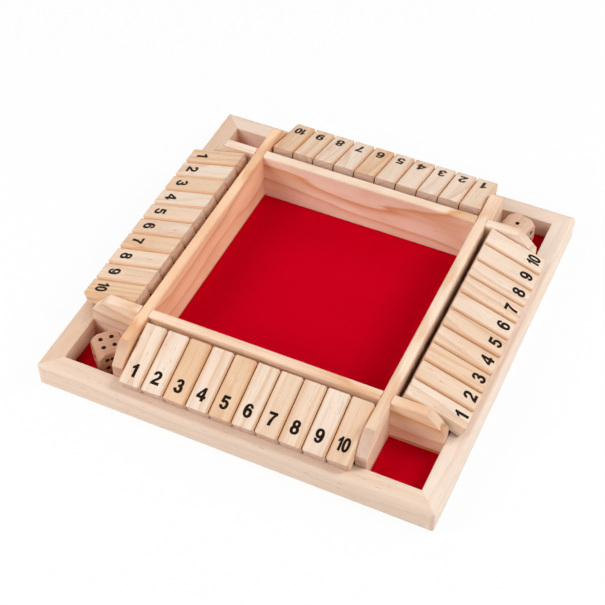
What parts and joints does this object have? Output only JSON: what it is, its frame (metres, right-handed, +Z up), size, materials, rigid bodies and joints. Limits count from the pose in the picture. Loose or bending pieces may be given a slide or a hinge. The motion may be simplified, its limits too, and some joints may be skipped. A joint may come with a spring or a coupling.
{
  "type": "shut the box game board",
  "caption": "Square pale-wood dice game board with a felt-lined centre well, corner trays, a bank of hinged number tiles along every side, and wooden dice.",
  "frame": {"origin": "centre of the frame's footprint, on the underside that stands on the table", "axes": "+Z up; +Y from the front rail to the back rail, which lie across the view in the picture; +X to the right"},
  "size_m": [0.225, 0.225, 0.0344],
  "materials": {
    "pine": "sanded, unvarnished, pale straw colour",
    "tile_pine": "sanded, unvarnished, with printed black numerals",
    "plywood": "plain thin board",
    "felt": "red felt, short matted nap",
    "steel": "plain drawn wire",
    "die_wood": "sanded wood with black-painted pips"
  },
  "bodies": {
    "box": {"rail_front": "pine", "rail_right": "pine", "rail_back": "pine", "rail_left": "pine", "base_board": "plywood", "felt_lining": "felt", "divider_left": "pine", "divider_right": "pine", "cross_wall_front": "pine", "cross_wall_back": "pine", "stub_front_left": "pine", "stub_front_right": "pine", "stub_back_right": "pine", "stub_back_left": "pine", "rod_front": "steel", "rod_right": "steel", "rod_back": "steel", "rod_left": "steel"},
    "tile_front_1": {"tile_front_1": "tile_pine"},
    "tile_front_2": {"tile_front_2": "tile_pine"},
    "tile_front_3": {"tile_front_3": "tile_pine"},
    "tile_front_4": {"tile_front_4": "tile_pine"},
    "tile_front_5": {"tile_front_5": "tile_pine"},
    "tile_front_6": {"tile_front_6": "tile_pine"},
    "tile_front_7": {"tile_front_7": "tile_pine"},
    "tile_front_8": {"tile_front_8": "tile_pine"},
    "tile_front_9": {"tile_front_9": "tile_pine"},
    "tile_front_10": {"tile_front_10": "tile_pine"},
    "tile_right_1": {"tile_right_1": "tile_pine"},
    "tile_right_2": {"tile_right_2": "tile_pine"},
    "tile_right_3": {"tile_right_3": "tile_pine"},
    "tile_right_4": {"tile_right_4": "tile_pine"},
    "tile_right_5": {"tile_right_5": "tile_pine"},
    "tile_right_6": {"tile_right_6": "tile_pine"},
    "tile_right_7": {"tile_right_7": "tile_pine"},
    "tile_right_8": {"tile_right_8": "tile_pine"},
    "tile_right_9": {"tile_right_9": "tile_pine"},
    "tile_right_10": {"tile_right_10": "tile_pine"},
    "tile_back_1": {"tile_back_1": "tile_pine"},
    "tile_back_2": {"tile_back_2": "tile_pine"},
    "tile_back_3": {"tile_back_3": "tile_pine"},
    "tile_back_4": {"tile_back_4": "tile_pine"},
    "tile_back_5": {"tile_back_5": "tile_pine"},
    "tile_back_6": {"tile_back_6": "tile_pine"},
    "tile_back_7": {"tile_back_7": "tile_pine"},
    "tile_back_8": {"tile_back_8": "tile_pine"},
    "tile_back_9": {"tile_back_9": "tile_pine"},
    "tile_back_10": {"tile_back_10": "tile_pine"},
    "tile_left_1": {"tile_left_1": "tile_pine"},
    "tile_left_2": {"tile_left_2": "tile_pine"},
    "tile_left_3": {"tile_left_3": "tile_pine"},
    "tile_left_4": {"tile_left_4": "tile_pine"},
    "tile_left_5": {"tile_left_5": "tile_pine"},
    "tile_left_6": {"tile_left_6": "tile_pine"},
    "tile_left_7": {"tile_left_7": "tile_pine"},
    "tile_left_8": {"tile_left_8": "tile_pine"},
    "tile_left_9": {"tile_left_9": "tile_pine"},
    "tile_left_10": {"tile_left_10": "tile_pine"},
    "die_front_left": {"die_front_left": "die_wood"},
    "die_back_right": {"die_back_right": "die_wood"}
  },
  "joints": [
    {"name": "flip_front_1", "type": "hinge", "parent": "box", "child": "tile_front_1", "pos_m": [-0.05781, -0.0815, 0.0283], "axis": [-1, 0, 0], "range_deg": [0, 134]},
    {"name": "flip_front_2", "type": "hinge", "parent": "box", "child": "tile_front_2", "pos_m": [-0.04483, -0.0815, 0.0283], "axis": [-1, 0, 0], "range_deg": [0, 151]},
    {"name": "flip_front_3", "type": "hinge", "parent": "box", "child": "tile_front_3", "pos_m": [-0.03185, -0.0815, 0.0283], "axis": [-1, 0, 0], "range_deg": [0, 151]},
    {"name": "flip_front_4", "type": "hinge", "parent": "box", "child": "tile_front_4", "pos_m": [-0.01887, -0.0815, 0.0283], "axis": [-1, 0, 0], "range_deg": [0, 151]},
    {"name": "flip_front_5", "type": "hinge", "parent": "box", "child": "tile_front_5", "pos_m": [-0.00589, -0.0815, 0.0283], "axis": [-1, 0, 0], "range_deg": [0, 151]},
    {"name": "flip_front_6", "type": "hinge", "parent": "box", "child": "tile_front_6", "pos_m": [0.00709, -0.0815, 0.0283], "axis": [-1, 0, 0], "range_deg": [0, 151]},
    {"name": "flip_front_7", "type": "hinge", "parent": "box", "child": "tile_front_7", "pos_m": [0.02007, -0.0815, 0.0283], "axis": [-1, 0, 0], "range_deg": [0, 151]},
    {"name": "flip_front_8", "type": "hinge", "parent": "box", "child": "tile_front_8", "pos_m": [0.03305, -0.0815, 0.0283], "axis": [-1, 0, 0], "range_deg": [0, 151]},
    {"name": "flip_front_9", "type": "hinge", "parent": "box", "child": "tile_front_9", "pos_m": [0.04603, -0.0815, 0.0283], "axis": [-1, 0, 0], "range_deg": [0, 151]},
    {"name": "flip_front_10", "type": "hinge", "parent": "box", "child": "tile_front_10", "pos_m": [0.05901, -0.0815, 0.0283], "axis": [-1, 0, 0], "range_deg": [0, 134]},
    {"name": "flip_right_1", "type": "hinge", "parent": "box", "child": "tile_right_1", "pos_m": [0.082, -0.05801, 0.0283], "axis": [0, -1, 0], "range_deg": [-0.6, 134]},
    {"name": "flip_right_2", "type": "hinge", "parent": "box", "child": "tile_right_2", "pos_m": [0.082, -0.04503, 0.0283], "axis": [0, -1, 0], "range_deg": [-0.6, 152.5]},
    {"name": "flip_right_3", "type": "hinge", "parent": "box", "child": "tile_right_3", "pos_m": [0.082, -0.03205, 0.0283], "axis": [0, -1, 0], "range_deg": [-0.6, 152.5]},
    {"name": "flip_right_4", "type": "hinge", "parent": "box", "child": "tile_right_4", "pos_m": [0.082, -0.01907, 0.0283], "axis": [0, -1, 0], "range_deg": [-0.6, 152.5]},
    {"name": "flip_right_5", "type": "hinge", "parent": "box", "child": "tile_right_5", "pos_m": [0.082, -0.00609, 0.0283], "axis": [0, -1, 0], "range_deg": [-0.6, 152.5]},
    {"name": "flip_right_6", "type": "hinge", "parent": "box", "child": "tile_right_6", "pos_m": [0.082, 0.00689, 0.0283], "axis": [0, -1, 0], "range_deg": [-0.6, 152.5]},
    {"name": "flip_right_7", "type": "hinge", "parent": "box", "child": "tile_right_7", "pos_m": [0.082, 0.01987, 0.0283], "axis": [0, -1, 0], "range_deg": [-0.6, 152.5]},
    {"name": "flip_right_8", "type": "hinge", "parent": "box", "child": "tile_right_8", "pos_m": [0.082, 0.03285, 0.0283], "axis": [0, -1, 0], "range_deg": [-0.6, 152.5]},
    {"name": "flip_right_9", "type": "hinge", "parent": "box", "child": "tile_right_9", "pos_m": [0.082, 0.04583, 0.0283], "axis": [0, -1, 0], "range_deg": [-0.6, 152.5]},
    {"name": "flip_right_10", "type": "hinge", "parent": "box", "child": "tile_right_10", "pos_m": [0.082, 0.05881, 0.0283], "axis": [0, -1, 0], "range_deg": [-0.6, 134]},
    {"name": "flip_back_1", "type": "hinge", "parent": "box", "child": "tile_back_1", "pos_m": [0.05861, 0.0828, 0.0283], "axis": [1, 0, 0], "range_deg": [-4.3, 134]},
    {"name": "flip_back_2", "type": "hinge", "parent": "box", "child": "tile_back_2", "pos_m": [0.04563, 0.0828, 0.0283], "axis": [1, 0, 0], "range_deg": [-4.3, 151.5]},
    {"name": "flip_back_3", "type": "hinge", "parent": "box", "child": "tile_back_3", "pos_m": [0.03265, 0.0828, 0.0283], "axis": [1, 0, 0], "range_deg": [-4.3, 151.5]},
    {"name": "flip_back_4", "type": "hinge", "parent": "box", "child": "tile_back_4", "pos_m": [0.01967, 0.0828, 0.0283], "axis": [1, 0, 0], "range_deg": [-4.3, 151.5]},
    {"name": "flip_back_5", "type": "hinge", "parent": "box", "child": "tile_back_5", "pos_m": [0.00669, 0.0828, 0.0283], "axis": [1, 0, 0], "range_deg": [-4.3, 151.5]},
    {"name": "flip_back_6", "type": "hinge", "parent": "box", "child": "tile_back_6", "pos_m": [-0.00629, 0.0828, 0.0283], "axis": [1, 0, 0], "range_deg": [-4.3, 151.5]},
    {"name": "flip_back_7", "type": "hinge", "parent": "box", "child": "tile_back_7", "pos_m": [-0.01927, 0.0828, 0.0283], "axis": [1, 0, 0], "range_deg": [-4.3, 151.5]},
    {"name": "flip_back_8", "type": "hinge", "parent": "box", "child": "tile_back_8", "pos_m": [-0.03225, 0.0828, 0.0283], "axis": [1, 0, 0], "range_deg": [-4.3, 151.5]},
    {"name": "flip_back_9", "type": "hinge", "parent": "box", "child": "tile_back_9", "pos_m": [-0.04523, 0.0828, 0.0283], "axis": [1, 0, 0], "range_deg": [-4.3, 151.5]},
    {"name": "flip_back_10", "type": "hinge", "parent": "box", "child": "tile_back_10", "pos_m": [-0.05821, 0.0828, 0.0283], "axis": [1, 0, 0], "range_deg": [-4.3, 134]},
    {"name": "flip_left_1", "type": "hinge", "parent": "box", "child": "tile_left_1", "pos_m": [-0.083, 0.05801, 0.0283], "axis": [0, 1, 0], "range_deg": [-4.5, 134]},
    {"name": "flip_left_2", "type": "hinge", "parent": "box", "child": "tile_left_2", "pos_m": [-0.083, 0.04503, 0.0283], "axis": [0, 1, 0], "range_deg": [-4.5, 151.5]},
    {"name": "flip_left_3", "type": "hinge", "parent": "box", "child": "tile_left_3", "pos_m": [-0.083, 0.03205, 0.0283], "axis": [0, 1, 0], "range_deg": [-4.5, 151.5]},
    {"name": "flip_left_4", "type": "hinge", "parent": "box", "child": "tile_left_4", "pos_m": [-0.083, 0.01907, 0.0283], "axis": [0, 1, 0], "range_deg": [-4.5, 151.5]},
    {"name": "flip_left_5", "type": "hinge", "parent": "box", "child": "tile_left_5", "pos_m": [-0.083, 0.00609, 0.0283], "axis": [0, 1, 0], "range_deg": [-4.5, 151.5]},
    {"name": "flip_left_6", "type": "hinge", "parent": "box", "child": "tile_left_6", "pos_m": [-0.083, -0.00689, 0.0283], "axis": [0, 1, 0], "range_deg": [-4.5, 151.5]},
    {"name": "flip_left_7", "type": "hinge", "parent": "box", "child": "tile_left_7", "pos_m": [-0.083, -0.01987, 0.0283], "axis": [0, 1, 0], "range_deg": [-4.5, 151.5]},
    {"name": "flip_left_8", "type": "hinge", "parent": "box", "child": "tile_left_8", "pos_m": [-0.083, -0.03285, 0.0283], "axis": [0, 1, 0], "range_deg": [-4.5, 151.5]},
    {"name": "flip_left_9", "type": "hinge", "parent": "box", "child": "tile_left_9", "pos_m": [-0.083, -0.04583, 0.0283], "axis": [0, 1, 0], "range_deg": [-4.5, 151.5]},
    {"name": "flip_left_10", "type": "hinge", "parent": "box", "child": "tile_left_10", "pos_m": [-0.083, -0.05881, 0.0283], "axis": [0, 1, 0], "range_deg": [-4.5, 134]},
    {"name": "lift_die_front_left", "type": "slide", "parent": "box", "child": "die_front_left", "axis": [0, 0, 1], "range_m": [0, 0.05]},
    {"name": "lift_die_back_right", "type": "slide", "parent": "box", "child": "die_back_right", "axis": [0, 0, 1], "range_m": [0, 0.05]}
  ]
}
